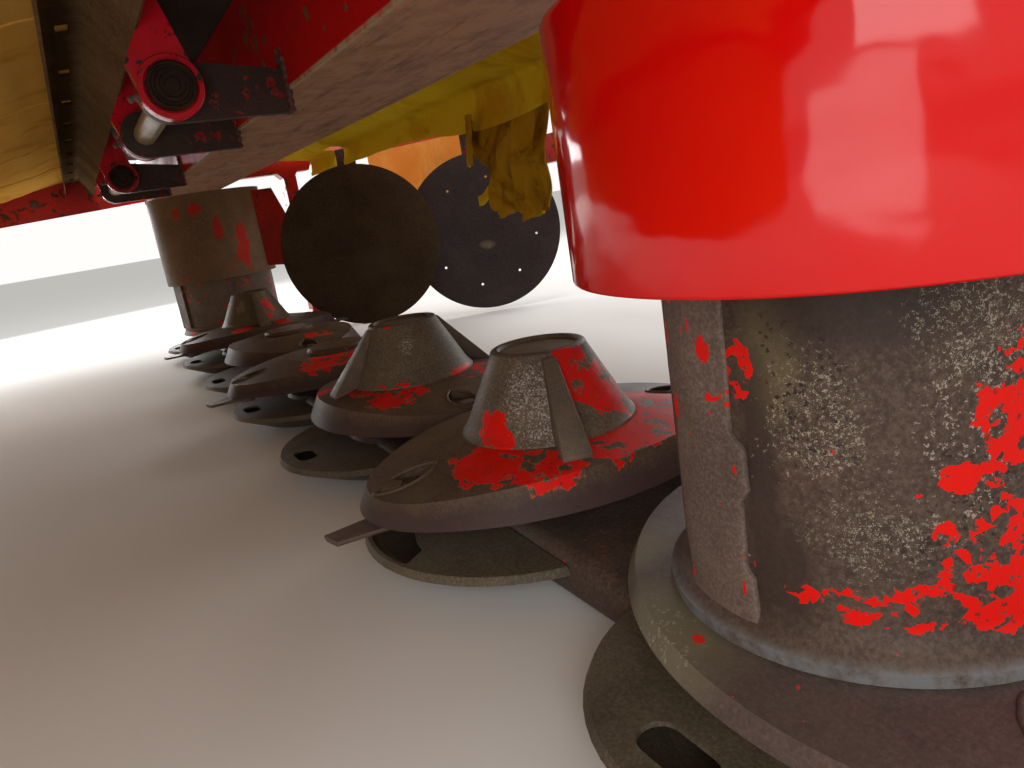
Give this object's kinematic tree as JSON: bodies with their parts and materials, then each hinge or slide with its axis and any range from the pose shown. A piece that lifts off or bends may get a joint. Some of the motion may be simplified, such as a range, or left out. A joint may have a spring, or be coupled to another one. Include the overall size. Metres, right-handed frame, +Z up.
{
  "type": "front-mounted disc mower",
  "caption": "Wide low mower: a flat cutter bar with oval discs, cones and end drums under a beam, canvas guards, round swath discs behind and a three-point headstock.",
  "frame": {"origin": "middle of the machine's footprint, on the floor", "axes": "+X along the cutter bar, from the drum end by the gearbox to the far drum; +Y forward, the way it travels; +Z up"},
  "size_m": [3.136, 2, 1.116],
  "materials": {
    "red_paint": "glossy red paint, chipped on the edges",
    "worn_paint": "bare brown steel with the last red paint in patches",
    "rusty_steel": "rusty steel, rubbed smooth by crop",
    "shoe_steel": "grey worn steel with dried dirt",
    "blade_steel": "rust-brown spring steel",
    "pin_steel": "greased pin steel",
    "beam_paint": "red paint under brown dirt",
    "canvas": "mustard yellow coated canvas",
    "case_paint": "dark grey paint on cast cases",
    "channel_steel": "dirty folded steel"
  },
  "bodies": {
    "frame": {"cutter_bar": "worn_paint", "disc_hubs": "rusty_steel", "skid_shoes": "shoe_steel", "bar_hangers": "red_paint", "beam": "beam_paint", "beam_caps": "beam_paint", "near_shroud": "red_paint", "shroud_neck": "red_paint", "far_shroud": "worn_paint", "flap_plate": "red_paint", "gearbox": "case_paint", "side_gearbox": "case_paint", "drive_tube": "red_paint", "hinge_ears": "beam_paint", "hinge_pins": "pin_steel", "tower_lugs": "red_paint", "link_tower": "red_paint", "rear_rail": "red_paint", "side_rails": "red_paint", "diagonal_rails": "red_paint", "outriggers": "red_paint", "rear_canvas": "canvas", "torn_flap": "canvas", "side_curtains": "canvas", "swath_arms": "rusty_steel", "stand_brackets": "red_paint"},
    "front_guard": {"guard_arms": "red_paint", "guard_channel": "channel_steel", "guard_frame": "red_paint", "front_canvas": "canvas"},
    "disc_body_1": {"disc_1": "rusty_steel", "blades_1": "blade_steel", "drum_1": "worn_paint"},
    "disc_body_2": {"disc_2": "rusty_steel", "blades_2": "blade_steel", "cone_2": "worn_paint"},
    "disc_body_3": {"disc_3": "rusty_steel", "blades_3": "blade_steel", "cone_3": "worn_paint"},
    "disc_body_4": {"disc_4": "rusty_steel", "blades_4": "blade_steel"},
    "disc_body_5": {"disc_5": "rusty_steel", "blades_5": "blade_steel"},
    "disc_body_6": {"disc_6": "rusty_steel", "blades_6": "blade_steel", "cone_6": "worn_paint"},
    "disc_body_7": {"disc_7": "rusty_steel", "blades_7": "blade_steel", "drum_7": "worn_paint"},
    "swath_front_right": {"swath_disc_front_right": "rusty_steel"},
    "swath_front_left": {"swath_disc_front_left": "rusty_steel"},
    "swath_rear_right": {"swath_disc_rear_right": "rusty_steel"},
    "swath_rear_left": {"swath_disc_rear_left": "rusty_steel"},
    "lower_arms": {"lower_arms": "red_paint"},
    "top_arm": {"top_arm": "red_paint"},
    "headstock": {"headstock": "red_paint"},
    "stand_left": {"stand_left": "red_paint"},
    "stand_right": {"stand_right": "red_paint"}
  },
  "joints": [
    {"name": "guard_lift", "type": "hinge", "parent": "frame", "child": "front_guard", "pos_m": [0, 0.396, 0.548], "axis": [1, 0, 0], "range_deg": [0, 75]},
    {"name": "disc_1_spin", "type": "hinge", "parent": "frame", "child": "disc_body_1", "pos_m": [-1.26, 0.1, 0.08], "axis": [0, 0, 1], "continuous": true},
    {"name": "disc_2_spin", "type": "hinge", "parent": "frame", "child": "disc_body_2", "pos_m": [-0.84, 0.1, 0.08], "axis": [0, 0, 1], "continuous": true},
    {"name": "disc_3_spin", "type": "hinge", "parent": "frame", "child": "disc_body_3", "pos_m": [-0.42, 0.1, 0.08], "axis": [0, 0, 1], "continuous": true},
    {"name": "disc_4_spin", "type": "hinge", "parent": "frame", "child": "disc_body_4", "pos_m": [0, 0.1, 0.08], "axis": [0, 0, 1], "continuous": true},
    {"name": "disc_5_spin", "type": "hinge", "parent": "frame", "child": "disc_body_5", "pos_m": [0.42, 0.1, 0.08], "axis": [0, 0, 1], "continuous": true},
    {"name": "disc_6_spin", "type": "hinge", "parent": "frame", "child": "disc_body_6", "pos_m": [0.84, 0.1, 0.08], "axis": [0, 0, 1], "continuous": true},
    {"name": "disc_7_spin", "type": "hinge", "parent": "frame", "child": "disc_body_7", "pos_m": [1.26, 0.1, 0.08], "axis": [0, 0, 1], "continuous": true},
    {"name": "swath_front_right_spin", "type": "hinge", "parent": "frame", "child": "swath_front_right", "pos_m": [0.918, -0.304, 0.293], "axis": [0.9135, -0.4067, 0], "continuous": true},
    {"name": "swath_front_left_spin", "type": "hinge", "parent": "frame", "child": "swath_front_left", "pos_m": [-0.918, -0.304, 0.293], "axis": [-0.9135, -0.4067, 0], "continuous": true},
    {"name": "swath_rear_right_spin", "type": "hinge", "parent": "frame", "child": "swath_rear_right", "pos_m": [0.784, -0.695, 0.271], "axis": [0.9135, -0.4067, 0], "continuous": true},
    {"name": "swath_rear_left_spin", "type": "hinge", "parent": "frame", "child": "swath_rear_left", "pos_m": [-0.784, -0.695, 0.271], "axis": [-0.9135, -0.4067, 0], "continuous": true},
    {"name": "lower_arm_lift", "type": "hinge", "parent": "frame", "child": "lower_arms", "pos_m": [0, 0.03, 0.77], "axis": [-1, 0, 0], "range_deg": [0, 22]},
    {"name": "top_arm_lift", "type": "hinge", "parent": "frame", "child": "top_arm", "pos_m": [0, 0.03, 1.01], "axis": [-1, 0, 0], "range_deg": [0, 22]},
    {"name": "headstock_level", "type": "hinge", "parent": "lower_arms", "child": "headstock", "pos_m": [0, -0.54, 0.71], "axis": [-1, 0, 0], "range_deg": [-22, 0]},
    {"name": "stand_left_slide", "type": "slide", "parent": "frame", "child": "stand_left", "axis": [0, 0, 1], "range_m": [0, 0.3]},
    {"name": "stand_right_slide", "type": "slide", "parent": "frame", "child": "stand_right", "axis": [0, 0, 1], "range_m": [0, 0.3]}
  ],
  "couplings": [
    {"joint": "disc_1_spin", "follows": "disc_7_spin", "ratio": 1},
    {"joint": "disc_2_spin", "follows": "disc_7_spin", "ratio": -1},
    {"joint": "disc_3_spin", "follows": "disc_7_spin", "ratio": 1},
    {"joint": "disc_4_spin", "follows": "disc_7_spin", "ratio": -1},
    {"joint": "disc_5_spin", "follows": "disc_7_spin", "ratio": 1},
    {"joint": "disc_6_spin", "follows": "disc_7_spin", "ratio": -1},
    {"joint": "top_arm_lift", "follows": "lower_arm_lift", "ratio": 1},
    {"joint": "headstock_level", "follows": "lower_arm_lift", "ratio": -1}
  ]
}
